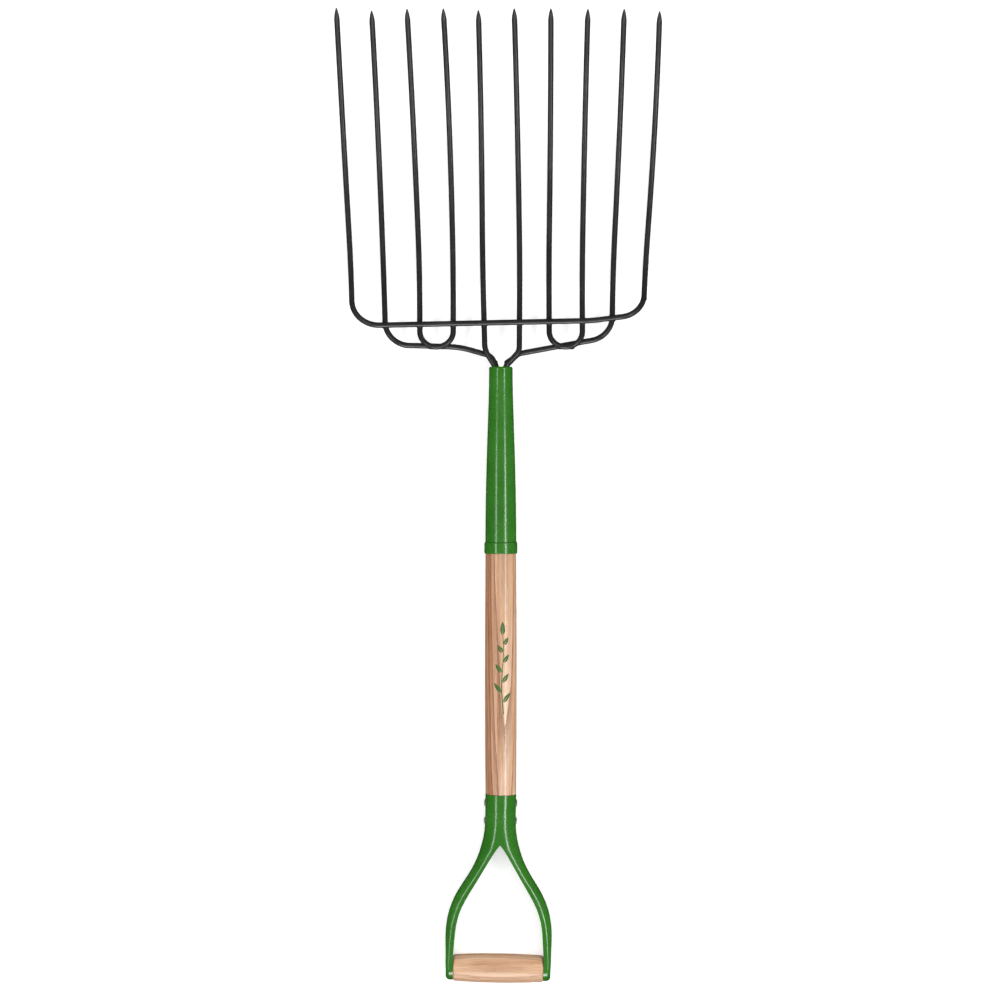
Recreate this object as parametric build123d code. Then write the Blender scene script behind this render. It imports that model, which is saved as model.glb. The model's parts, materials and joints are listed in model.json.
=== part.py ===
"""Ten-tine bedding fork with a steel D-grip, lying on its back with the scoop side up.

Millimetres. +X is to the right, +Y runs from the grip to the tine tips, +Z is up. The origin is under the
middle of the fork's bounding box, on the surface that it lies on.

The model is first made in a working frame whose Y and Z start under the grip bar, on the floor, with X = 0
on the handle's axis, and it is moved to the final origin at the end. The handle has a frame of its own:
x right, y along its axis from the grip bar, z square to it.
"""

import os
from math import cos, pi, radians, sin, tan

from build123d import *

# ---------------------------------------------------------------- head: driving dimensions

ROD_D = 7.0                 # tine stock
WELD_GAP = 0.4              # between the surfaces of two rods that are welded where they cross
LAYER = ROD_D + WELD_GAP    # from one layer of rods to the next

BELLY_Y = 931.0             # the lowest line of the scoop, which lies on the floor
SHOULDER_ANGLE = 17.0       # slope of the rods from the shoulder up to the neck
SHOULDER_R = 340.0          # scoop radius between the belly and the shoulder
OUTER_SHOULDER_R = 215.0    # tighter on the outer bow, whose corners come sooner
TIP_Y = 1197.7
TIP_Z = 66.0
TIP_BEND_Y = 1071.5         # middle of the long bend that lifts the tips
TIP_R = 515.0               # scoop radius between the belly and the tips
POINT_LENGTH = 17.5
POINT_NOSE_R = 0.9          # radius of the blunt end of a tine point
POINT_SKIN = 0.15           # how far outside the rod the grinding starts
TIP_SHORTER = (0.0, 3.1, 1.2, 0.6, 2.5, 0.6, 0.6, 1.2, 1.2, 3.7)   # each tine, from left to right

# x of each tine at its tip, at mid length and at the shoulder: bent and set by hand, so not quite even
TINE_X = (
    (-204.0, -200.0, -189.0),
    (-160.5, -155.5, -148.0),
    (-116.5, -110.5, -102.5),
    (-71.5, -64.5, -60.0),
    (-28.0, -24.5, -23.0),
    (16.5, 21.0, 24.0),
    (62.0, 63.0, 60.5),
    (108.0, 106.0, 102.5),
    (153.0, 151.0, 141.5),
    (197.0, 196.0, 182.0),
)

BOW_LEFT_CORNER = (-185.5, 805.6)
BOW_RIGHT_BEND = (114.0, 812.2)
BOW_RIGHT_CORNER = (178.5, 820.6)
BOW_LEFT_CORNER_R = 35.0
BOW_RIGHT_BEND_R = 160.0
BOW_RIGHT_CORNER_R = 32.0

LOOP_BASE_Y = 779.2
LOOP_ROUNDNESS = 0.99       # radius of a loop's corners, as a share of half its width
LEFT_LOOP_X = (-101.2, -59.6)
RIGHT_LOOP_X = (60.6, 102.0)

# rails, from the corner under tine 2 or 9 to the mouth of the ferrule
LEFT_RAIL = ((-143.8, 781.4), (-98.0, 781.0), (-51.0, 779.3), (-12.6, 768.3))
RIGHT_RAIL = ((139.0, 791.8), (98.0, 785.1), (21.5, 770.8))
RAIL_CORNER_R = 30.0
RAIL_NECK_Z = 28.3          # where they pass behind the centre tines
LEFT_CENTRE_BEND = (-20.0, 775.0)
RIGHT_CENTRE_BEND = (23.0, 773.3)

TANG_X = 5.6                # half the spacing of the two pairs of tangs, with room for the rivet between
TANG_Z = ROD_D / 2 + 0.05   # half the spacing of the front and back tangs
TANG_END = 650.0            # along the handle's axis
TANG_STRAIGHT_Y = {"left_rail": 755.8, "left_centre": 752.4, "right_centre": 755.3, "right_rail": 754.9}
TANG_WELD_H = 6.0
TANG_WELD_GAP = 0.5         # between the weld's rim and the bore
TANG_WELD_EDGE_R = 1.5
# bend radii from the tang to the corner or the shoulder
LEFT_RAIL_R = (16.0, 14.0, 110.0, 80.0, RAIL_CORNER_R)
RIGHT_RAIL_R = (13.0, 14.0, 150.0, RAIL_CORNER_R)
LEFT_CENTRE_R = (20.0, 24.0)
RIGHT_CENTRE_R = (12.0, 14.0)

# where the inner tines' straight parts end, at the crossbar or just past it
TINE_BASE = {
    2: LEFT_RAIL[0],
    3: (LEFT_LOOP_X[0], LOOP_BASE_Y),
    4: (LEFT_LOOP_X[1], LOOP_BASE_Y),
    5: LEFT_CENTRE_BEND,
    6: RIGHT_CENTRE_BEND,
    7: (RIGHT_LOOP_X[0], LOOP_BASE_Y),
    8: (RIGHT_LOOP_X[1], LOOP_BASE_Y),
    9: RIGHT_RAIL[0],
}
CROSS_BEAD_R = 5.2
LOOP_BEAD = 16.0
LOOP_BEAD_R = 3.4
LOOP_BEAD_UP = 0.5          # from the loop's centre line towards the tips
SHANK_BEAD_R = 3.2
SHANK_BEAD_TOP = (0.85, -5.5)   # share of the centre tine's bend in x, and the distance from it in y
SHANK_BEAD_FOOT = (1.6, 5.5)    # out from the tang's centre line, and ahead of the ferrule's mouth

# ---------------------------------------------------------------- handle: driving dimensions

GRIP_MID_R = 18.2
GRIP_END_R = 16.4
GRIP_LENGTH = 113.0
GRIP_CHAMFER = 1.6
HANDLE_TILT = 1.15          # degrees, up towards the head

FERRULE_MOUTH = 754.5       # places along the handle's axis
FERRULE_BACK = 521.0
COLLAR_LENGTH = 14.0
YOKE_MOUTH = 219.0
YOKE_CROTCH = 157.0
FIT = 0.05                  # clearance between pieces that are pressed together
THROUGH = 60.0              # longer than anything a hole is drilled through across the handle

FERRULE_WALL = 1.3
FERRULE_BACK_R = 19.35
# places along the axis and outer radius, from the swaged mouth to the cylinder under the collar
FERRULE_LINE = (
    (751.5, 14.7),
    (712.0, 15.35),
    (662.0, 17.0),
    (612.0, 18.4),
    (575.0, 19.05),
    (540.0, FERRULE_BACK_R),
)
LIP_IN = 1.6                # how far the rounded mouth turns in
COLLAR_R = 20.65
COLLAR_EDGE_R = 0.9

SHAFT_END_R = 19.15         # where the shaft meets the ferrule and the yoke
SHAFT_MID_R = 19.85         # it is slightly barrelled between them
SHAFT_NOSE = 742.0          # end of the long tenon inside the ferrule
TANG_BORE_R = 10.4
TANG_BORE_END = 640.0

RIVET_D = 5.0
TANG_RIVET_D = 4.0
TANG_RIVET_Y = 692.0
TANG_RIVET_HEAD_R = 3.6
TANG_RIVET_HEAD_H = 1.6
FERRULE_RIVET_R = 16.05     # ferrule radius there
TANG_RIVET_FRONT = 13.8     # the pin stops short of the ferrule's front wall
RIVET_HEAD_R = 4.7
RIVET_HEAD_H = 1.5
YOKE_RIVETS = {"upper_yoke_rivet": 208.0, "lower_yoke_rivet": 186.0}

YOKE_LEAN = 0.9             # degrees: the D-grip sits slightly askew on the shaft
YOKE_WALL = 1.8
SOCKET_R = 19.3
TENON_END = 168.0
TENON_FIT = 0.2             # radial: the pressed socket isn't quite round
# halves of the socket and legs of the yoke: place along the axis, outer face, inner edge, half width
# front to back, and the bend radius between web and flange; the socket's halves are made past the
# middle and cut back to it
SOCKET_STATIONS = (
    (YOKE_MOUTH, SOCKET_R, -0.15, SOCKET_R, SOCKET_R - 0.2),
    (182.0, SOCKET_R, -0.15, SOCKET_R, SOCKET_R - 0.2),
    (170.0, 20.3, -0.15, 19.25, SOCKET_R - 0.3),
    (YOKE_CROTCH, 22.9, -0.15, 19.1, SOCKET_R - 0.5),
)
LEG_STATIONS = (
    SOCKET_STATIONS[-1],
    (146.5, 25.8, 7.5, 18.7, 17.4),
    (136.0, 29.5, 13.8, 18.0, 14.6),
    (115.5, 40.2, 25.6, 17.0, 13.0),
    (95.5, 52.6, 37.4, 16.4, 12.5),
    (75.5, 61.4, 47.6, 16.0, 11.5),
    (55.5, 65.8, 53.2, 15.6, 10.0),
    (35.5, 66.6, 55.4, 15.4, 8.0),
    (18.0, 66.1, 56.6, 15.3, 6.0),
    (0.0, 65.6, 56.7, 15.2, 5.0),
)
TAB_INNER_X = GRIP_LENGTH / 2 + 0.3
TAB_OUTER_X = 65.6
CUP_R = 8.4                 # dished seat of the grip rivet's head
GRIP_RIVET_D = 6.0
GRIP_RIVET_HEAD_R = 6.0
GRIP_RIVET_HEAD_H = 3.4
SPIN_CLEARANCE = 0.06       # radial, between the grip rivet and the bore of the grip bar


# ---------------------------------------------------------------- places worked out from them

FLOOR_Z = ROD_D / 2         # centre of a rod that lies on the floor
SHOULDER_Y = BELLY_Y - SHOULDER_R * tan(radians(SHOULDER_ANGLE / 2))
LAYER_Z = LAYER / cos(radians(SHOULDER_ANGLE))
TIP_BEND = (TIP_BEND_Y, FLOOR_Z)

HANDLE = Location((0, 0, GRIP_MID_R), (HANDLE_TILT, 0, 0))
YOKE = HANDLE * Pos(0, YOKE_MOUTH, 0) * Rot(0, 0, -YOKE_LEAN) * Pos(0, -YOKE_MOUTH, 0)


def neck_z(y):
    """Height of the middle layer of rods where they slope up from the shoulder."""
    return FLOOR_Z + (SHOULDER_Y - y) * tan(radians(SHOULDER_ANGLE))


def on_handle(x, y, z):
    """A point of the handle's frame in the working frame."""
    return (HANDLE * Pos(x, y, z)).position


# ---------------------------------------------------------------- rods

def chain(*points):
    """Straight edges through the points."""
    return [Line(a, b) for a, b in zip(points, points[1:])]


def bent_path(points, bend_radii):
    """Straight runs joined by tangent arcs, one radius for each inner point."""
    points = [Vector(*p) for p in points]
    edges = []
    start = points[0]
    for before, corner, after, radius in zip(points, points[1:], points[2:], bend_radii):
        back = (before - corner).normalized()
        on = (after - corner).normalized()
        half = radians(back.get_angle(on) / 2)
        reach = radius / tan(half)
        middle = corner + (back + on).normalized() * (radius / sin(half) - radius)
        arc = ThreePointArc(corner + back * reach, middle, corner + on * reach)
        edges += [Line(start, arc @ 0), arc]
        start = arc @ 1
    edges.append(Line(start, points[-1]))
    return Wire(edges)


def swept_rod(path):
    """Round stock along a path."""
    return sweep(Plane(path @ 0, z_dir=path % 0) * Circle(ROD_D / 2), path)


def point_cutter(tip, direction):
    """What is ground off the end of a rod to leave a bullet point with a small blunt nose."""
    rise = POINT_LENGTH - POINT_NOSE_R
    nose = POINT_NOSE_R * sin(pi / 4)
    outside = 2 * ROD_D
    outline = [
        TangentArc((ROD_D / 2 + POINT_SKIN, 0), (POINT_NOSE_R, rise), tangent=(-0.02, 1)),
        ThreePointArc((POINT_NOSE_R, rise), (nose, rise + nose), (0, POINT_LENGTH)),
        *chain(
            (0, POINT_LENGTH),
            (0, POINT_LENGTH + ROD_D),
            (outside, POINT_LENGTH + ROD_D),
            (outside, 0),
            (ROD_D / 2 + POINT_SKIN, 0),
        ),
    ]
    cutter = revolve(Plane.XZ * make_face(outline), Axis.Z)
    return Plane(tip - direction * POINT_LENGTH, z_dir=direction) * cutter


def tine_end(number):
    """Middle bend and tip of a tine, numbered from 1 at the left."""
    tip_x, middle_x, _ = TINE_X[number - 1]
    bend_y, bend_z = TIP_BEND
    share = 1 - TIP_SHORTER[number - 1] / (TIP_Y - bend_y)
    tip = (
        middle_x + (tip_x - middle_x) * share,
        bend_y + (TIP_Y - bend_y) * share,
        bend_z + (TIP_Z - bend_z) * share,
    )
    return (middle_x, bend_y, bend_z), tip


def shoulder(number):
    return TINE_X[number - 1][2], SHOULDER_Y, FLOOR_Z


def tine_rod(number, inner_points, inner_radii):
    """One tine and what it is bent into at its base, listed from the far end to the shoulder."""
    bend, tip = tine_end(number)
    points = [*inner_points, shoulder(number), bend, tip]
    path = bent_path(points, [*inner_radii, SHOULDER_R, TIP_R])
    return swept_rod(path) - point_cutter(path @ 1, path % 1)


def two_tine_rod(first, second, inner_points, inner_radii, shoulder_r):
    """One rod that ends in two tines."""
    bend_a, tip_a = tine_end(first)
    bend_b, tip_b = tine_end(second)
    points = [tip_a, bend_a, shoulder(first), *inner_points, shoulder(second), bend_b, tip_b]
    radii = [TIP_R, shoulder_r, *inner_radii, shoulder_r, TIP_R]
    path = bent_path(points, radii)
    rod = swept_rod(path) - point_cutter(path @ 1, path % 1)
    return rod - point_cutter(path @ 0, path % 0 * -1)


def outer_bow():
    """Tines 1 and 10 and the crossbar, a layer above the other rods."""
    corners = [
        (x, y, neck_z(y) + LAYER_Z)
        for x, y in (BOW_LEFT_CORNER, BOW_RIGHT_BEND, BOW_RIGHT_CORNER)
    ]
    radii = [BOW_LEFT_CORNER_R, BOW_RIGHT_BEND_R, BOW_RIGHT_CORNER_R]
    return two_tine_rod(1, 10, corners, radii, OUTER_SHOULDER_R)


def tine_loop(first, xs):
    """Two neighbouring tines joined by a U that lies on the rail."""
    corners = [(x, LOOP_BASE_Y, neck_z(LOOP_BASE_Y)) for x in xs]
    radius = LOOP_ROUNDNESS * (xs[1] - xs[0]) / 2
    return two_tine_rod(first, first + 1, corners, [radius, radius], SHOULDER_R)


def rail_points(side, corners, straight_y):
    """From the tang's end to the corner under the tine: behind the loop and the centre tine."""
    tang = [on_handle(side * TANG_X, y, -TANG_Z) for y in (TANG_END, straight_y)]
    corner, *run, neck = corners
    behind = [(x, y, neck_z(y) - LAYER_Z) for x, y in run]
    return [*tang, (*neck, RAIL_NECK_Z), *reversed(behind), (*corner, neck_z(corner[1]))]


def centre_tine(number, side, bend, straight_y, bend_radii):
    """Tine 5 or 6, with the front tang."""
    tang = [on_handle(side * TANG_X, y, TANG_Z) for y in (TANG_END, straight_y)]
    return tine_rod(number, [*tang, (*bend, neck_z(bend[1]))], bend_radii)


# ---------------------------------------------------------------- welds

def capsule(start, end, radius):
    """A straight bead with round ends."""
    start, end = Vector(*start), Vector(*end)
    run = end - start
    body = Pos(0, 0, run.length / 2) * Cylinder(radius, run.length)
    body += Sphere(radius)
    body += Pos(0, 0, run.length) * Sphere(radius)
    return Plane(start, z_dir=run) * body


def largest(shape):
    return shape.solids().sort_by(SortBy.VOLUME)[-1]


def crossbar_y(x):
    """The crossbar's centre line, between its two corners."""
    (x0, y0), (x1, y1), (x2, y2) = BOW_LEFT_CORNER, BOW_RIGHT_BEND, BOW_RIGHT_CORNER
    if x < x1:
        return y0 + (y1 - y0) * (x - x0) / (x1 - x0)
    return y1 + (y2 - y1) * (x - x1) / (x2 - x1)


def crossbar_welds(rods, bow):
    """One bead in each crossing of the crossbar and an inner tine."""
    beads = []
    for number, (base_x, base_y) in TINE_BASE.items():
        y = crossbar_y(base_x)
        x = base_x + (TINE_X[number - 1][2] - base_x) * (y - base_y) / (SHOULDER_Y - base_y)
        bead = Pos(x, y, neck_z(y) + LAYER_Z / 2) * Sphere(CROSS_BEAD_R)
        beads.append(largest(bead - rods[number] - bow))
    return Compound(children=beads)


def loop_weld(xs, rods):
    """A bead along the bottom of a loop, where it lies on the rail."""
    y = LOOP_BASE_Y + LOOP_BEAD_UP
    z = neck_z(y) - LAYER_Z / 2
    middle = sum(xs) / 2
    bead = capsule((middle - LOOP_BEAD / 2, y, z), (middle + LOOP_BEAD / 2, y, z), LOOP_BEAD_R)
    for rod in rods:
        bead = bead - rod
    return largest(bead)


def shank_weld(side, bend, rods):
    """A bead between the rail and the centre tine, just ahead of the ferrule."""
    share, back = SHANK_BEAD_TOP
    out, ahead = SHANK_BEAD_FOOT
    top = (bend[0] * share, bend[1] + back, RAIL_NECK_Z + LAYER / 2)
    foot = on_handle(side * (TANG_X + out), FERRULE_MOUTH + ahead, 0)
    bead = capsule(top, foot, SHANK_BEAD_R)
    for rod in rods:
        bead = bead - rod
    return largest(bead)


def tang_weld():
    """A puck across the ends of the four tangs."""
    puck = Cylinder(TANG_BORE_R - TANG_WELD_GAP, TANG_WELD_H, rotation=(90, 0, 0))
    puck = fillet(puck.edges().filter_by(GeomType.CIRCLE), TANG_WELD_EDGE_R)
    return HANDLE * Pos(0, TANG_END - TANG_WELD_H / 2, 0) * puck


# ---------------------------------------------------------------- ferrule, collar and shaft

def turned(*outline):
    """A solid of revolution about the handle's axis, from the edges of its outline."""
    return revolve(make_face(outline), Axis.Y)


def ferrule_form(inset):
    """The ferrule's outline as a solid, brought in by the inset."""
    places = [(radius - inset, y) for y, radius in FERRULE_LINE]
    side = Spline(places, tangents=[(0, -1), (0, -1)])
    lip_start, back = places[0], places[-1]
    lip_end = (lip_start[0] - LIP_IN, FERRULE_MOUTH)
    lip = ThreePointArc(lip_end, (lip_start[0] - LIP_IN * 0.29, FERRULE_MOUTH - LIP_IN * 0.5), lip_start)
    rest = chain(back, (back[0], FERRULE_BACK), (0, FERRULE_BACK), (0, FERRULE_MOUTH), lip_end)
    return turned(side, lip, *rest)


def ferrule():
    return HANDLE * (ferrule_form(0) - ferrule_form(FERRULE_WALL))


def ferrule_collar():
    """Ring around the ferrule's wooden end."""
    length = COLLAR_LENGTH
    ring = Cylinder(COLLAR_R, length, rotation=(90, 0, 0))
    ring = fillet(ring.edges().filter_by(GeomType.CIRCLE), COLLAR_EDGE_R)
    ring -= Cylinder(FERRULE_BACK_R + FIT, length + 2, rotation=(90, 0, 0))
    return HANDLE * Pos(0, FERRULE_BACK + length / 2, 0) * ring


def handle_shaft():
    """Barrelled shaft with a tenon in the ferrule, bored for the tangs, and one in the yoke."""
    middle = (YOKE_MOUTH + FERRULE_BACK) / 2
    low_end = YOKE_MOUTH - 2
    side = ThreePointArc((SHAFT_END_R, low_end), (SHAFT_MID_R, middle), (SHAFT_END_R, FERRULE_BACK))
    body = turned(
        side, *chain((SHAFT_END_R, FERRULE_BACK), (0, FERRULE_BACK), (0, low_end), (SHAFT_END_R, low_end))
    )
    length = SHAFT_NOSE - FERRULE_BACK + 1
    upper = ferrule_form(FERRULE_WALL + FIT) & (
        Pos(0, SHAFT_NOSE - length / 2, 0) * Cylinder(COLLAR_R, length, rotation=(90, 0, 0))
    )
    bore_length = SHAFT_NOSE - TANG_BORE_END + 2
    bore = Cylinder(TANG_BORE_R, bore_length, rotation=(90, 0, 0))
    rivet_hole = Cylinder(TANG_RIVET_D / 2 + FIT, THROUGH)
    shaft = HANDLE * (
        body
        + upper
        - Pos(0, TANG_BORE_END + bore_length / 2, 0) * bore
        - Pos(0, TANG_RIVET_Y, 0) * rivet_hole
    )
    clear = Pos(0, YOKE_MOUTH - 10, 0) * Box(THROUGH, 20, THROUGH)
    tenon_length = YOKE_MOUTH - TENON_END + 4
    tenon = Pos(0, TENON_END + tenon_length / 2, 0) * Cylinder(
        SOCKET_R - YOKE_WALL - TENON_FIT, tenon_length, rotation=(90, 0, 0)
    )
    holes = [
        Pos(0, y, 0) * Cylinder(RIVET_D / 2 + FIT, THROUGH, rotation=(0, 90, 0))
        for y in YOKE_RIVETS.values()
    ]
    return shaft - YOKE * clear + YOKE * (tenon - holes)


def head_side(seat, shank_r, head_r, height):
    """Half outline of a low domed head along +X, from its tip to the shank below its seat."""
    rim = height * 0.3
    dome = ThreePointArc(
        (seat + height, 0),
        (seat + rim + (height - rim) * 0.72, head_r * 0.62),
        (seat + rim, head_r),
    )
    return [dome, *chain((seat + rim, head_r), (seat, head_r), (seat, shank_r))]


def rivet(seat, shank_r, head_r, height):
    """Rivet along X with a head at each end, seated the same way out on both sides."""
    right = head_side(seat, shank_r, head_r, height)
    left = [mirror(edge, Plane.YZ) for edge in right]
    rest = [Line((seat, shank_r), (-seat, shank_r)), Line((-seat - height, 0), (seat + height, 0))]
    return revolve(make_face([*right, *left, *rest]), Axis.X)


def tang_rivet():
    """Blind pin from the back of the ferrule, between the tangs, with its head at the back."""
    seat = FERRULE_RIVET_R + FIT
    shank_r = TANG_RIVET_D / 2
    head = head_side(seat, shank_r, TANG_RIVET_HEAD_R, TANG_RIVET_HEAD_H)
    front = -TANG_RIVET_FRONT
    rest = chain((seat, shank_r), (front, shank_r), (front, 0), (seat + TANG_RIVET_HEAD_H, 0))
    pin = revolve(make_face([*head, *rest]), Axis.X)
    return HANDLE * Pos(0, TANG_RIVET_Y, 0) * Rot(0, 90, 0) * pin


# ---------------------------------------------------------------- D-grip

def channel_side(station, thinner):
    """Half of a leg's outline, from the middle of its web to the edge of its flange."""
    y, outer, inner, half_width, bend_r = station
    web = outer - thinner
    flange = half_width - thinner
    radius = bend_r - thinner
    diagonal = radius * sin(pi / 4)
    centre = (web - radius, flange - radius)
    arc = ThreePointArc(
        (web, y, centre[1]),
        (centre[0] + diagonal, y, centre[1] + diagonal),
        (centre[0], y, flange),
    )
    return [Line((web, y, 0), arc @ 0), arc, Line(arc @ 1, (inner, y, flange))]


def half_channel(station):
    """The front half of a leg's section: a bent plate of the wall's thickness."""
    outside = channel_side(station, 0)
    inside = channel_side(station, YOKE_WALL)
    edge = Line(outside[-1] @ 1, inside[-1] @ 1)
    middle = Line(outside[0] @ 0, inside[0] @ 0)
    return Wire([*outside, edge, *inside, middle])


def yoke_half():
    """Right half of the socket, with its leg and the round end of its tab."""
    socket = Solid.make_loft([half_channel(station) for station in SOCKET_STATIONS])
    leg = Solid.make_loft([half_channel(station) for station in LEG_STATIONS])
    tab_end = revolve(Face(half_channel(LEG_STATIONS[-1])), Axis.X, 90)
    reach = 2 * YOKE_MOUTH
    right_side = Pos(reach / 2, 0, 0) * Box(reach, 2 * reach, reach)
    front = (socket + leg + tab_end) & right_side
    return front + mirror(front, Plane.XY)


def grip_yoke():
    """Socket that splits into two channelled legs, which end in tabs for the grip's rivet."""
    half = yoke_half()
    cup_length = TAB_OUTER_X - TAB_INNER_X - 1
    cup = Cylinder(CUP_R + YOKE_WALL, cup_length, rotation=(0, 90, 0))
    dish = Cylinder(CUP_R, cup_length + 4, rotation=(0, 90, 0))
    half += Pos(TAB_INNER_X + cup_length / 2, 0, 0) * cup
    half -= Pos(TAB_INNER_X + YOKE_WALL + cup_length / 2 + 2, 0, 0) * dish
    half -= Cylinder(GRIP_RIVET_D / 2 + FIT, 3 * TAB_OUTER_X, rotation=(0, 90, 0))
    for y in YOKE_RIVETS.values():
        half -= Pos(0, y, 0) * Cylinder(RIVET_D / 2 + FIT, THROUGH, rotation=(0, 90, 0))
    return YOKE * largest(half + mirror(half, Plane.YZ))


def yoke_rivet(y):
    """Through rivet of the socket and the shaft."""
    return YOKE * Pos(0, y, 0) * rivet(SOCKET_R + FIT, RIVET_D / 2, RIVET_HEAD_R, RIVET_HEAD_H)


def grip_bar():
    """Turned cross grip, thickest in the middle, bored for its rivet."""
    half = GRIP_LENGTH / 2
    barrel = ThreePointArc((-half, GRIP_END_R), (0, GRIP_MID_R), (half, GRIP_END_R))
    rest = chain((half, GRIP_END_R), (half, 0), (-half, 0), (-half, GRIP_END_R))
    bar = revolve(make_face([barrel, *rest]), Axis.X)
    rims = bar.edges().filter_by(GeomType.CIRCLE)
    bar = chamfer(rims.filter_by(lambda e: e.radius > GRIP_END_R - 1), GRIP_CHAMFER, GRIP_CHAMFER)
    bore = Cylinder(GRIP_RIVET_D / 2 + SPIN_CLEARANCE, GRIP_LENGTH + 2, rotation=(0, 90, 0))
    return YOKE * (bar - bore)


def grip_rivet():
    """Axle of the grip bar, with a head seated in each tab's cup."""
    seat = TAB_INNER_X + YOKE_WALL + FIT
    return YOKE * rivet(seat, GRIP_RIVET_D / 2, GRIP_RIVET_HEAD_R, GRIP_RIVET_HEAD_H)


# ---------------------------------------------------------------- assembly

def make_rods():
    """The seven bent rods of the head."""
    left_rail = rail_points(-1, LEFT_RAIL, TANG_STRAIGHT_Y["left_rail"])
    right_rail = rail_points(1, RIGHT_RAIL, TANG_STRAIGHT_Y["right_rail"])
    return {
        "outer_tine_bow": outer_bow(),
        "left_rail_tine": tine_rod(2, left_rail, LEFT_RAIL_R),
        "right_rail_tine": tine_rod(9, right_rail, RIGHT_RAIL_R),
        "left_tine_loop": tine_loop(3, LEFT_LOOP_X),
        "right_tine_loop": tine_loop(7, RIGHT_LOOP_X),
        "left_centre_tine": centre_tine(
            5, -1, LEFT_CENTRE_BEND, TANG_STRAIGHT_Y["left_centre"], LEFT_CENTRE_R
        ),
        "right_centre_tine": centre_tine(
            6, 1, RIGHT_CENTRE_BEND, TANG_STRAIGHT_Y["right_centre"], RIGHT_CENTRE_R
        ),
    }


def make_welds(rods):
    """The beads that join the rods to each other."""
    by_tine = {
        2: rods["left_rail_tine"],
        3: rods["left_tine_loop"],
        4: rods["left_tine_loop"],
        5: rods["left_centre_tine"],
        6: rods["right_centre_tine"],
        7: rods["right_tine_loop"],
        8: rods["right_tine_loop"],
        9: rods["right_rail_tine"],
    }
    left = (by_tine[3], by_tine[2])
    right = (by_tine[8], by_tine[9])
    left_shank = (by_tine[5], by_tine[2])
    right_shank = (by_tine[6], by_tine[9])
    return {
        "crossbar_welds": crossbar_welds(by_tine, rods["outer_tine_bow"]),
        "loop_welds": Compound(
            children=[loop_weld(LEFT_LOOP_X, left), loop_weld(RIGHT_LOOP_X, right)]
        ),
        "shank_welds": Compound(
            children=[
                shank_weld(-1, LEFT_CENTRE_BEND, left_shank),
                shank_weld(1, RIGHT_CENTRE_BEND, right_shank),
            ]
        ),
        "tang_weld": tang_weld(),
    }


def make_parts():
    """Every piece in the working frame, by node name."""
    rods = make_rods()
    socket = ferrule()
    back_hole = Pos(0, TANG_RIVET_Y, -THROUGH / 2) * Cylinder(TANG_RIVET_D / 2 + FIT, THROUGH)
    socket -= HANDLE * back_hole
    parts = {
        **rods,
        **make_welds(rods),
        "ferrule": socket,
        "ferrule_collar": ferrule_collar(),
        "tang_rivet": tang_rivet(),
        "handle_shaft": handle_shaft(),
        "grip_yoke": grip_yoke(),
        "grip_bar": grip_bar(),
        "grip_rivet": grip_rivet(),
    }
    for name, y in YOKE_RIVETS.items():
        parts[name] = yoke_rivet(y)
    return parts


def to_origin(parts):
    """The move that puts the origin under the middle of the bounding box."""
    box = Compound(children=[Compound(part.solids()) for part in parts.values()]).bounding_box()
    return Pos(-(box.min.X + box.max.X) / 2, -(box.min.Y + box.max.Y) / 2, -box.min.Z)


def main():
    os.makedirs("parts", exist_ok=True)
    parts = make_parts()
    move = to_origin(parts)
    for name, part in parts.items():
        export_step(move * part, f"parts/{name}.step")
    print("move of the working frame:", tuple(round(v, 4) for v in move.position))
    print("middle of the grip bar:", tuple(round(v, 4) for v in (move * YOKE).position))


if __name__ == "__main__":
    main()
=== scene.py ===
"""Looks of the ten-tine bedding fork: materials, fine pieces, lights and camera, in metres."""

import json
import math

import bmesh
import bpy
from mathutils import Matrix, Vector, noise


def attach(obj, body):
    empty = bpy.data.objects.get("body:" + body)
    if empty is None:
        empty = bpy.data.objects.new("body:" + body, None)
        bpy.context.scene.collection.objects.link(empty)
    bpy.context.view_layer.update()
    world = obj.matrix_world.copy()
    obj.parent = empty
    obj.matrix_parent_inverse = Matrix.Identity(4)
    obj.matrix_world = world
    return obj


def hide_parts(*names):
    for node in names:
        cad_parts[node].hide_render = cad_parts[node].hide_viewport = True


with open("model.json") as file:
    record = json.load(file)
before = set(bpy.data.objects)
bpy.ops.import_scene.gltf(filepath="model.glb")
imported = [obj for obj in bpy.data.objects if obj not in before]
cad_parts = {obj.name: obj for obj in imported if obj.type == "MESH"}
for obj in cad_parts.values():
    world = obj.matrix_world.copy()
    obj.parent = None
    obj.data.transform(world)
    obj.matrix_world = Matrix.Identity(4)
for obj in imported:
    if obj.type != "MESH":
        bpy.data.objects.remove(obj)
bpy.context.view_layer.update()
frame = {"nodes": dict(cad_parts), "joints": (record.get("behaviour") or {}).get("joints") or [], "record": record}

WHITE = (1.0, 1.0, 1.0, 1.0)


# ---------------------------------------------------------------- camera

CAMERA_PLACE = (0.0023, -0.0020, 3.645)     # straight above, looking down
SENSOR_MM = 36.0
FOCAL_SHARE = 2.888                         # focal length over the sensor's width
CLIP_END = 50.0

camera_data = bpy.data.cameras.new("camera")
camera_data.sensor_width = SENSOR_MM
camera_data.lens = SENSOR_MM * FOCAL_SHARE
camera_data.clip_end = CLIP_END
camera = bpy.data.objects.new("camera", camera_data)
camera.location = CAMERA_PLACE
bpy.context.scene.collection.objects.link(camera)
bpy.context.scene.camera = camera
bpy.context.scene.view_settings.view_transform = "Standard"


# ---------------------------------------------------------------- places

# In both frames x points to the right, y along the handle towards the head, and z square to both.
# The yoke's frame starts at the middle of the grip bar. The yoke sits slightly askew on the shaft,
# so the handle's frame is turned back by its lean, about the yoke's mouth.
GRIP_CENTRE = Vector(frame["joints"][0]["pos_m"])
HANDLE_TILT = math.radians(1.15)
YOKE_LEAN = math.radians(0.9)

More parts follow.
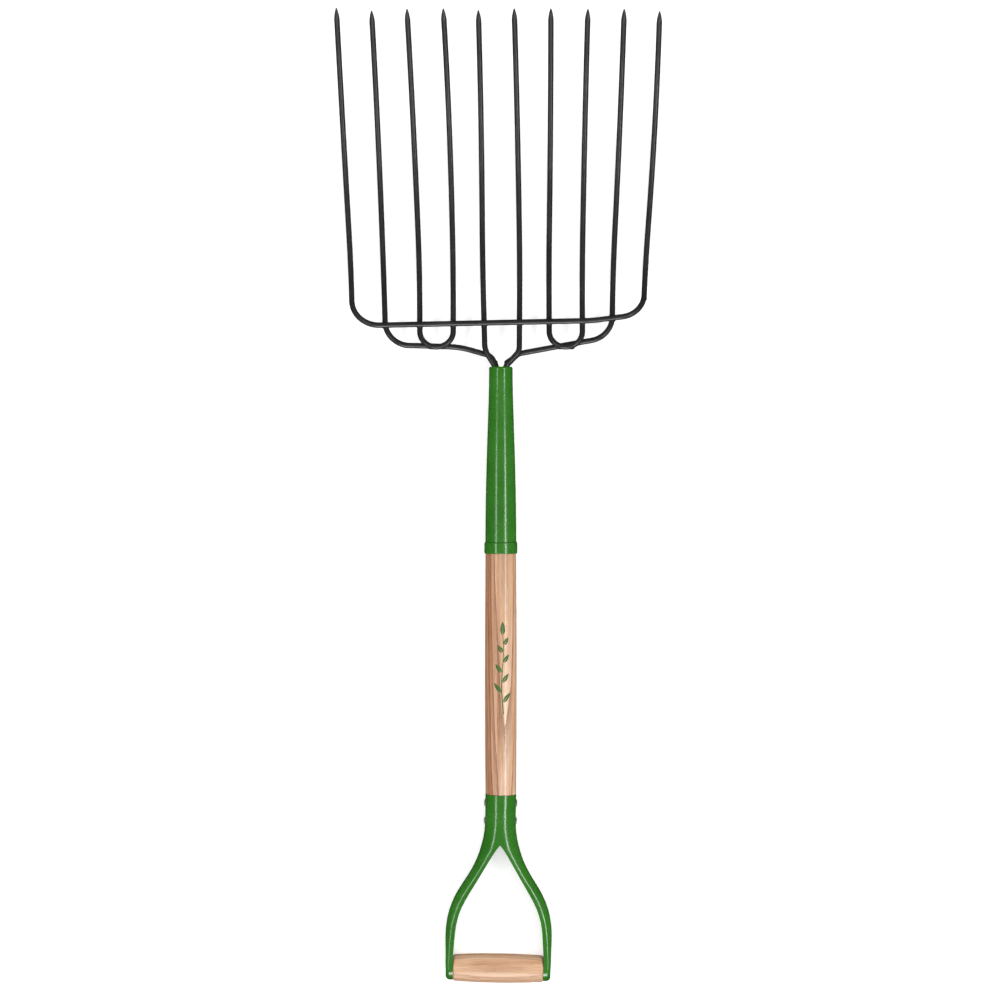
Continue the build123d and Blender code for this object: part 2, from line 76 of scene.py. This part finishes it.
YOKE_MOUTH = 0.219                          # places along the handle
SHAFT_START = YOKE_MOUTH - 0.002
FERRULE_BACK = 0.521
COLLAR_FRONT = 0.535

SHAFT_MID_R = 0.01985                       # the shaft is slightly barrelled
SHAFT_END_R = 0.01915
SHAFT_MID = (SHAFT_START + FERRULE_BACK) / 2
SHAFT_HALF = (FERRULE_BACK - SHAFT_START) / 2

YOKE_FRAME = (
    Matrix.Translation(GRIP_CENTRE)
    @ Matrix.Rotation(HANDLE_TILT, 4, "X")
    @ Matrix.Rotation(-YOKE_LEAN, 4, "Z")
)
HANDLE_FRAME = (
    YOKE_FRAME
    @ Matrix.Translation((0, YOKE_MOUTH, 0))
    @ Matrix.Rotation(YOKE_LEAN, 4, "Z")
    @ Matrix.Translation((0, -YOKE_MOUTH, 0))
)


# ---------------------------------------------------------------- material helpers

def srgb(red, green, blue):
    """Linear colour from 8-bit sRGB values."""
    def one(value):
        value /= 255
        return value / 12.92 if value <= 0.04045 else ((value + 0.055) / 1.055) ** 2.4
    return one(red), one(green), one(blue), 1.0


class Nodes:
    """Short calls for building a material's node tree. Noise scales are in features per metre."""

    def __init__(self, name):
        self.material = bpy.data.materials.new(name)
        self.material.use_nodes = True
        self.tree = self.material.node_tree
        self.tree.nodes.clear()
        self.output = self.tree.nodes.new("ShaderNodeOutputMaterial")
        self.coordinates = self.tree.nodes.new("ShaderNodeTexCoord").outputs["Object"]

    def add(self, kind, **inputs):
        """A shader node with its inputs set or linked. An underscore stands for a space."""
        node = self.tree.nodes.new("ShaderNode" + kind)
        for key, value in inputs.items():
            self.feed(node.inputs[key.replace("_", " ")], value)
        return node

    def feed(self, socket, value):
        """Link an output to an input, or set the input to a plain value."""
        if isinstance(value, bpy.types.NodeSocket):
            self.tree.links.new(value, socket)
        else:
            socket.default_value = value

    def stretched(self, scale, vector=None):
        """Coordinates scaled along each axis."""
        return self.add("Mapping", Scale=scale, Vector=vector or self.coordinates).outputs["Vector"]

    def noise(self, scale, detail, roughness=0.5, vector=None):
        """Cloudy noise from 0 to 1."""
        node = self.add(
            "TexNoise", Vector=vector or self.coordinates, Scale=scale, Detail=detail, Roughness=roughness
        )
        return node.outputs["Fac"]

    def ramp(self, factor, *stops, smooth=False):
        """A colour ramp through stops of (place, colour) or (place, grey)."""
        node = self.tree.nodes.new("ShaderNodeValToRGB")
        if smooth:
            node.color_ramp.interpolation = "EASE"
        elements = node.color_ramp.elements
        while len(elements) < len(stops):
            elements.new(0.5)
        for element, (place, colour) in zip(elements, stops):
            element.position = place
            element.color = colour if isinstance(colour, tuple) else (colour, colour, colour, 1.0)
        self.feed(node.inputs["Fac"], factor)
        return node.outputs["Color"]

    def mix(self, factor, first, second, mode="MIX"):
        """Two colours mixed by a factor."""
        node = self.tree.nodes.new("ShaderNodeMix")
        node.data_type = "RGBA"
        node.blend_type = mode
        # a Mix node has one socket of each name for each data type
        for socket, value in (("Factor_Float", factor), ("A_Color", first), ("B_Color", second)):
            match = next(s for s in node.inputs if s.identifier == socket)
            self.feed(match, value)
        return next(s for s in node.outputs if s.identifier == "Result_Color")

    def math(self, operation, first, second, clamp=False):
        """One step of arithmetic."""
        node = self.tree.nodes.new("ShaderNodeMath")
        node.operation = operation
        node.use_clamp = clamp
        self.feed(node.inputs[0], first)
        self.feed(node.inputs[1], second)
        return node.outputs[0]

    def bump(self, height, distance, normal=None):
        """The normal of a height map, on top of another normal if one is given."""
        node = self.add("Bump", Strength=1.0, Distance=distance, Height=height)
        if normal is not None:
            self.feed(node.inputs["Normal"], normal)
        return node.outputs["Normal"]

    def finish(self, **inputs):
        """The material, with its Principled shader connected."""
        shader = self.add("BsdfPrincipled", **inputs)
        self.tree.links.new(shader.outputs["BSDF"], self.output.inputs["Surface"])
        return self.material


# ---------------------------------------------------------------- paint, steel and ink

SHADE_CLOUDS = 26.0                         # features per metre, down to INK_STREAKS
DUST_PATCHES = 41.0
SPRAY_WAVES = 95.0
ORANGE_PEEL = 900.0
WORN_SPECKS = 620.0
TARNISH = 320.0
SCRATCHES = 900.0
INK_STREAKS = 900.0
COAT_ROUGHNESS = 0.08
GLOSSY, DUSTY = 0.8, 1.35                   # shares of a paint's roughness
WAVE_DEPTH = 0.000012
PEEL_DEPTH = 0.0000015
CHIP_DEPTH = 0.00005
CHIP_ROUGHER = 0.35
SCRATCH_DEPTH = 0.00003
INK_DEPTH = 0.00003


def paint(name, base, shade, light, roughness, coat, chip=None):
    """Sprayed enamel: faint shade changes, waves, orange peel, dust in its gloss and perhaps worn specks."""
    n = Nodes(name)
    colour = n.ramp(n.noise(SHADE_CLOUDS, detail=4), (0.3, shade), (0.5, base), (0.72, light), smooth=True)
    patch = n.noise(DUST_PATCHES, detail=3, roughness=0.7)
    gloss = n.ramp(patch, (0.35, roughness * GLOSSY), (0.65, roughness * DUSTY))
    normal = n.bump(n.noise(SPRAY_WAVES, detail=2), WAVE_DEPTH)
    normal = n.bump(n.noise(ORANGE_PEEL, detail=1), PEEL_DEPTH, normal=normal)
    if chip is not None:
        specks = n.ramp(n.noise(WORN_SPECKS, detail=2, roughness=0.6), (0.67, 0.0), (0.72, 1.0))
        worn = n.math("MULTIPLY", specks, n.ramp(patch, (0.56, 0.0), (0.66, 1.0)), clamp=True)
        colour = n.mix(worn, colour, chip)
        gloss = n.math("ADD", gloss, n.math("MULTIPLY", worn, CHIP_ROUGHER), clamp=True)
        normal = n.bump(worn, -CHIP_DEPTH, normal=normal)
    return n.finish(
        Base_Color=colour, Roughness=gloss, Coat_Weight=coat, Coat_Roughness=COAT_ROUGHNESS, Normal=normal
    )


def bare_steel(name, dark, bright):
    """Zinc-grey rivet steel with fine scratches and a little tarnish."""
    n = Nodes(name)
    colour = n.ramp(n.noise(TARNISH, detail=4), (0.3, dark), (0.7, bright))
    scratch = n.noise(SCRATCHES, detail=2, vector=n.stretched((1, 8, 1)))
    gloss = n.ramp(scratch, (0.3, 0.22), (0.7, 0.42))
    return n.finish(
        Base_Color=colour, Metallic=0.45, Roughness=gloss, Normal=n.bump(scratch, SCRATCH_DEPTH)
    )


def ink(name, base, light):
    """Screen print on varnished wood, streaked along its grain."""
    n = Nodes(name)
    grain = n.noise(INK_STREAKS, detail=3, vector=n.stretched((1, 0.05, 1)))
    colour = n.ramp(grain, (0.35, base), (0.75, light))
    return n.finish(Base_Color=colour, Roughness=0.42, Normal=n.bump(grain, INK_DEPTH))


# ---------------------------------------------------------------- wood

GRAIN_SQUEEZE = {"X": (0.03, 1, 1), "Y": (1, 0.03, 1)}      # draws every feature out along the grain
RING_SCALE = 82.0
RING_DISTORTION = 3.2
TONE_CLOUDS = 120.0                         # features per metre, down to the waves of the painted shade's edge
PORES = 1500.0
FLECKS = 420.0
FIBRES = 500.0
SIDE_SHADE_WAVES = 60.0
PORES_IN_RINGS = 0.8
PORES_ANYWHERE = 0.2
PORE_DARKNESS = 0.75
FLECK_DARKNESS = 0.5
SIDE_SHADE_WANDER = 0.03
PORE_DEPTH = 0.00004
FIBRE_DEPTH = 0.00002
VARNISH_ROUGHNESS = 0.13


def growth_rings(n, grain, along):
    """Rings round the pith, each of which darkens slowly and ends at once."""
    rings = n.add(
        "TexWave", Vector=grain, Scale=RING_SCALE, Distortion=RING_DISTORTION, Detail=3.0, Detail_Scale=0.9
    )
    rings.wave_type = "RINGS"
    rings.rings_direction = along
    rings.wave_profile = "SAW"
    return n.ramp(rings.outputs["Fac"], (0.0, 0.0), (0.5, 0.12), (0.8, 0.6), (0.95, 1.0), (1.0, 0.1))


def open_pores(n, grain, ring):
    """Short pores, crowded in the dark of the rings and sparse between them."""
    pores = n.ramp(n.noise(PORES, detail=3, roughness=0.7, vector=grain), (0.5, 0.0), (0.62, 1.0))
    share = n.math("ADD", n.math("MULTIPLY", ring, PORES_IN_RINGS), PORES_ANYWHERE)
    return n.math("MULTIPLY", pores, share, clamp=True)


def painted_side_shade(n, grain, colour, full_x, none_x, shade_tint):
    """Painted shade: the wood darkened by a tint towards one side of the stick, up to a wandering edge."""
    wander = n.math("SUBTRACT", n.noise(SIDE_SHADE_WAVES, detail=3, vector=grain), 0.5)
    place = n.add("SeparateXYZ", Vector=n.coordinates).outputs["X"]
    place = n.math("ADD", place, n.math("MULTIPLY", wander, SIDE_SHADE_WANDER))
    side = n.add("MapRange", Value=place, From_Min=full_x, From_Max=none_x, To_Min=1.0, To_Max=0.0)
    return n.mix(side.outputs["Result"], colour, shade_tint, mode="MULTIPLY")


def wood(name, along, pith, tones, streak, ring_share, coat, side_shade=None):
    """Varnished ash along one axis: growth rings round a distant pith, open pores, flecks and, if given, painted
    shade on one side.
    """
    n = Nodes(name)
    from_pith = n.add("VectorMath")
    from_pith.operation = "ADD"
    n.feed(from_pith.inputs[0], n.coordinates)
    n.feed(from_pith.inputs[1], pith)
    grain = n.stretched(GRAIN_SQUEEZE[along], vector=from_pith.outputs[0])

    cloud = n.noise(TONE_CLOUDS, detail=5, roughness=0.65, vector=grain)
    ring = growth_rings(n, grain, along)
    pore = open_pores(n, grain, ring)
    fleck = n.ramp(n.noise(FLECKS, detail=2, vector=grain), (0.66, 0.0), (0.74, 1.0))

    colour = n.ramp(cloud, *zip((0.3, 0.5, 0.7), tones), smooth=True)
    for mark, strength in ((ring, ring_share), (pore, PORE_DARKNESS), (fleck, FLECK_DARKNESS)):
        colour = n.mix(n.math("MULTIPLY", mark, strength), colour, streak)
    # painted shade on the side of the stick where less light falls
    if side_shade is not None:
        colour = painted_side_shade(n, grain, colour, *side_shade)

    gloss = n.ramp(cloud, (0.3, 0.5), (0.7, 0.4))
    normal = n.bump(pore, -PORE_DEPTH)
    normal = n.bump(n.noise(FIBRES, detail=2, vector=grain), FIBRE_DEPTH, normal=normal)
    return n.finish(
        Base_Color=colour, Roughness=gloss, Coat_Weight=coat, Coat_Roughness=VARNISH_ROUGHNESS, Normal=normal
    )


# ---------------------------------------------------------------- materials

BLACK = paint(
    "black_paint", srgb(44, 44, 45), srgb(37, 37, 38), srgb(52, 52, 53),
    roughness=0.36, coat=0.3, chip=srgb(104, 100, 96),
)
GREEN = paint(
    "green_paint", srgb(50, 122, 31), srgb(46, 116, 28), srgb(55, 127, 36), roughness=0.24, coat=0.45
)
# painted shade: a dark green for the shadow in the gaps at the collar and the yoke's mouth
GAP_SHADE_PAINT = paint(
    "painted_gap_shade", srgb(28, 62, 20), srgb(22, 50, 16), srgb(36, 72, 26), roughness=0.5, coat=0.1
)
STEEL = bare_steel("bare_steel", srgb(134, 137, 146), srgb(192, 195, 202))
SHAFT_WOOD = wood(
    "shaft_wood", "Y", pith=(0.012, 0.4, 0.03),
    tones=(srgb(206, 156, 117), srgb(231, 186, 149), srgb(243, 208, 179)), streak=srgb(140, 88, 54),
    # painted shade: this tint darkens the shaft's left side, which is lit less
    ring_share=0.7, coat=0.4, side_shade=(-0.013, 0.004, srgb(222, 200, 184)),
)
GRIP_WOOD = wood(
    "grip_wood", "X", pith=(0.3, 0.6, 0.035),
    tones=(srgb(214, 160, 118), srgb(235, 190, 153), srgb(245, 209, 177)), streak=srgb(160, 106, 70),
    ring_share=0.5, coat=0.05,
)
INK = ink("green_ink", srgb(58, 112, 46), srgb(84, 128, 62))

SLOT_MATERIALS = {
    "black_paint": BLACK,
    "green_paint": GREEN,
    "bare_steel": STEEL,
    "shaft_wood": SHAFT_WOOD,
    "grip_wood": GRIP_WOOD,
}
for part in frame["record"]["subparts"]:
    for place in frame["nodes"][part["node"]].material_slots:
        place.material = SLOT_MATERIALS[part["material_slot"]]


# ---------------------------------------------------------------- piece helpers

def mesh_from(name, shape):
    """A finished bmesh as a mesh, with its faces turned outwards."""
    bmesh.ops.recalc_face_normals(shape, faces=shape.faces)
    mesh = bpy.data.meshes.new(name)
    shape.to_mesh(mesh)
    shape.free()
    return mesh


def modified(mesh, *modifiers):
    """The mesh after modifiers, each of them a type and its settings."""
    bearer = bpy.data.objects.new("bearer", mesh)
    bpy.context.scene.collection.objects.link(bearer)
    for kind, settings in modifiers:
        modifier = bearer.modifiers.new(kind.lower(), kind)
        for key, value in settings.items():
            setattr(modifier, key, value)
    depsgraph = bpy.context.evaluated_depsgraph_get()
    result = bpy.data.meshes.new_from_object(bearer.evaluated_get(depsgraph))
    bpy.data.objects.remove(bearer)
    return result


def new_piece(name, mesh, material):
    """Link a mesh as a piece that rides on the fork."""
    piece = bpy.data.objects.new(name, mesh)
    bpy.context.scene.collection.objects.link(piece)
    mesh.materials.clear()
    mesh.materials.append(material)
    mesh.shade_smooth()
    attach(piece, "fork")
    return piece


# ---------------------------------------------------------------- weld beads

WELD_VOXEL = 0.00042
WELD_SMOOTHING = 3
WELD_LUMP = 0.00045
LUMPS = 420.0                               # per metre
RIPPLES = 1100.0
RIPPLE_SHARE = 0.5                          # height of a ripple over that of a lump


def weld_bead(node):
    """The bead of a CAD weld node, with the ripples and lumps of hand welding under its paint."""
    mesh = modified(
        frame["nodes"][node].data.copy(),
        ("REMESH", {"mode": "VOXEL", "voxel_size": WELD_VOXEL}),
        ("SMOOTH", {"iterations": WELD_SMOOTHING}),
    )
    outward = [vertex.normal.copy() for vertex in mesh.vertices]
    for vertex, normal in zip(mesh.vertices, outward):
        height = noise.noise(vertex.co * LUMPS) + RIPPLE_SHARE * noise.noise(vertex.co * RIPPLES)
        vertex.co += normal * height * WELD_LUMP
    piece = new_piece(node + "_bead", mesh, BLACK)
    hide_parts(node)


for weld in ("crossbar_welds", "loop_welds", "shank_welds"):
    weld_bead(weld)


# ---------------------------------------------------------------- painted shade in the gaps

COLLAR_SHADE_RING_R = 0.01945
YOKE_SHADE_RING_R = 0.01925
SHADE_RING_AHEAD = 0.0001                         # in front of the edge that it lies against
SHADE_RING_THICK = 0.00028
SHADE_RING_UNEVEN = 0.25
SHADE_RING_LUMPS = 3.0
SHADE_RING_STEPS = 96                             # round the handle
SHADE_RING_SECTION = 8                            # round the ring itself


def gap_shade_ring(name, edge, radius, grid):
    """A dark ring of painted shade, standing for the shadow in the gap where one piece ends on another."""
    shape = bmesh.new()
    place = edge + SHADE_RING_AHEAD
    rings = []
    for i in range(SHADE_RING_STEPS):
        turn = 2 * math.pi * i / SHADE_RING_STEPS
        spot = Vector((math.cos(turn), math.sin(turn), place))
        thick = SHADE_RING_THICK * (1 + SHADE_RING_UNEVEN * noise.noise(spot * SHADE_RING_LUMPS))
        ring = []
        for j in range(SHADE_RING_SECTION):
            roll = 2 * math.pi * j / SHADE_RING_SECTION
            out = radius + thick * math.cos(roll)
            point = Vector((out * math.sin(turn), place + thick * math.sin(roll), out * math.cos(turn)))
            ring.append(shape.verts.new(grid @ point))
        rings.append(ring)
    for one, two in zip(rings, rings[1:] + rings[:1]):
        for j in range(SHADE_RING_SECTION):
            k = (j + 1) % SHADE_RING_SECTION
            shape.faces.new((one[j], one[k], two[k], two[j]))
    new_piece(name, mesh_from(name, shape), GAP_SHADE_PAINT)


# painted shade in the gaps in front of the collar and at the yoke's mouth
gap_shade_ring("collar_gap_shade", COLLAR_FRONT, COLLAR_SHADE_RING_R, HANDLE_FRAME)
gap_shade_ring("yoke_gap_shade", YOKE_MOUTH, YOKE_SHADE_RING_R, YOKE_FRAME)


# ---------------------------------------------------------------- print on the shaft

PRINT_MID = 0.379                           # along the handle
PRINT_LENGTH = 0.116
PRINT_TURN = math.radians(6.0)              # round the shaft, to the right of its top
PRINT_LIFT = 0.00005
PRINT_THICK = 0.00008

STEM_STEPS = 40
STEM_BASE_HALF_W = 0.00075
STEM_TIP_HALF_W = 0.00035
STEM_SWAY = 0.0011
STEM_SWAYS = 70.0                           # radians per metre

LEAVES = 7
LEAF_FIRST, LEAF_EVERY, LEAF_LAST = 6, 5, 35    # steps of the stem
LEAF_OUT = 0.0011                           # from the middle of the stem to a leaf's base
LEAF_LENGTH = 0.0155
LEAF_SHORTER = 0.0009                       # each leaf than the one below it
LEAF_WIDTH = 0.0023                         # of one half
LEAF_ANGLE = 38                             # degrees from the stem, and one less for each leaf
TOP_LEAF_LENGTH = 0.0165
TOP_LEAF_WIDTH = 0.0028
TOP_LEAF_OVERLAP = 0.0004

LEAF_ROWS = 14
LEAF_BELLY = 0.8                            # below 1, a leaf is widest nearer its base
LEAF_FULLNESS = 0.9
LEAF_TIP_W = 0.00002
RIB_BASE_HALF_W = 0.00032
RIB_TIP_HALF_W = 0.00004


def shaft_radius(y):
    """Radius of the barrelled shaft at a place along the handle."""
    share = (y - SHAFT_MID) / SHAFT_HALF
    return SHAFT_MID_R - (SHAFT_MID_R - SHAFT_END_R) * share * share


def strip(shape, *edges):
    """Faces on the shaft between two edges of (along the shaft, around it) points."""
    rows = []
    for points in edges:
        row = []
        for u, v in points:
            y = PRINT_MID + u
            radius = shaft_radius(y) + PRINT_LIFT
            turn = PRINT_TURN + v / radius
            place = Vector((radius * math.sin(turn), y, radius * math.cos(turn)))
            row.append(shape.verts.new(HANDLE_FRAME @ place))
        rows.append(row)
    for a, b, c, d in zip(rows[0], rows[0][1:], rows[1][1:], rows[1]):
        shape.faces.new((a, b, c, d))


def leaf(shape, base, angle, length, width):
    """Pointed leaf in two halves, with a fine gap for its midrib."""
    direction = (math.cos(angle), math.sin(angle))
    across = (-direction[1], direction[0])
    for side in (-1, 1):
        rows = ([], [])
        for step in range(LEAF_ROWS + 1):
            t = step / LEAF_ROWS
            spread = width * math.sin(math.pi * t ** LEAF_BELLY) ** LEAF_FULLNESS + LEAF_TIP_W
            rib = RIB_BASE_HALF_W + (RIB_TIP_HALF_W - RIB_BASE_HALF_W) * t
            for row, out in zip(rows, (rib, rib + spread)):
                row.append(tuple(
                    b + d * t * length + a * side * out for b, d, a in zip(base, direction, across)
                ))
        strip(shape, *(rows if side < 0 else reversed(rows)))


def sprig():
    """A swaying stem with leaves on alternate sides and one at its top."""
    shape = bmesh.new()
    stem, left, right = [], [], []
    for step in range(STEM_STEPS + 1):
        t = step / STEM_STEPS
        u = (PRINT_LENGTH - TOP_LEAF_LENGTH) * t - PRINT_LENGTH / 2
        v = STEM_SWAY * math.sin(u * STEM_SWAYS)
        half_width = STEM_BASE_HALF_W + (STEM_TIP_HALF_W - STEM_BASE_HALF_W) * t
        stem.append((u, v))
        left.append((u, v - half_width))
        right.append((u, v + half_width))
    strip(shape, left, right)
    for number in range(LEAVES):
        u, v = stem[min(LEAF_FIRST + LEAF_EVERY * number, LEAF_LAST)]
        side = -1 if number % 2 else 1
        angle = side * math.radians(LEAF_ANGLE - number)
        length = LEAF_LENGTH - LEAF_SHORTER * number
        leaf(shape, (u, v + side * LEAF_OUT), angle, length, LEAF_WIDTH)
    top_u, top_v = stem[-1]
    leaf(shape, (top_u - TOP_LEAF_OVERLAP, top_v), 0.0, TOP_LEAF_LENGTH, TOP_LEAF_WIDTH)
    mesh = modified(mesh_from("shaft_print", shape), ("SOLIDIFY", {"thickness": PRINT_THICK, "offset": 0}))
    new_piece("shaft_print", mesh, INK)


sprig()


# ---------------------------------------------------------------- floor

FLOOR_HALF = 6.0
FLOOR_Z = -0.0004                           # just under the pieces that lie on it
FLOOR_GLOW = 0.48                           # keeps it white where the lights fall off
FLOOR_CORNERS = ((-1, -1), (1, -1), (1, 1), (-1, 1))


def floor():
    """White studio floor, which isn't mirrored in the paint."""
    mesh = bpy.data.meshes.new("floor")
    mesh.from_pydata([(x * FLOOR_HALF, y * FLOOR_HALF, 0) for x, y in FLOOR_CORNERS], [], [(0, 1, 2, 3)])
    sheet = bpy.data.objects.new("floor", mesh)
    sheet.location.z = FLOOR_Z
    bpy.context.scene.collection.objects.link(sheet)
    n = Nodes("floor")
    colour = n.ramp(n.noise(3.0, detail=2), (0.3, 0.84), (0.7, 0.86))
    mesh.materials.append(
        n.finish(Base_Color=colour, Roughness=0.9, Emission_Color=WHITE, Emission_Strength=FLOOR_GLOW)
    )
    sheet.visible_glossy = False


floor()


# ---------------------------------------------------------------- lights

STRIP_X, STRIP_Y, STRIP_Z = 1.75, -0.5, 2.5
STRIP_SIZE = (1.5, 0.42)                    # along the fork, and across it
WORLD_GLOW = 0.42


def area_light(name, place, aim, size, power, mirrored=True, lights=True):
    """A soft rectangular light: for reflections, for light on matt surfaces, or for both."""
    data = bpy.data.lights.new(name, "AREA")
    data.shape = "RECTANGLE"
    data.size, data.size_y = size
    data.energy = power
    light = bpy.data.objects.new(name, data)
    light.location = place
    towards = Vector(aim) - Vector(place)
    light.rotation_euler = towards.to_track_quat("-Z", "Y").to_euler()
    light.visible_glossy = mirrored
    light.visible_diffuse = lights
    bpy.context.scene.collection.objects.link(light)


for name, side, power in (("strip_left", -1, 15), ("strip_right", 1, 26)):
    area_light(name, (side * STRIP_X, STRIP_Y, STRIP_Z), aim=(0, STRIP_Y, 0), size=STRIP_SIZE, power=power)
area_light("overhead", (0, 0.3, 4.6), aim=(0, 0, 0.02), size=(3.2, 3.2), power=72, mirrored=False)
area_light("tip_light", (0, -3.4, 2.2), aim=(0, 0.5, 0.05), size=(2.6, 1.6), power=120, lights=False)

world = bpy.data.worlds.new("studio")
bpy.context.scene.world = world
world.use_nodes = True
background = world.node_tree.nodes["Background"]
background.inputs["Color"].default_value = WHITE
background.inputs["Strength"].default_value = WORLD_GLOW
world.cycles_visibility.glossy = False
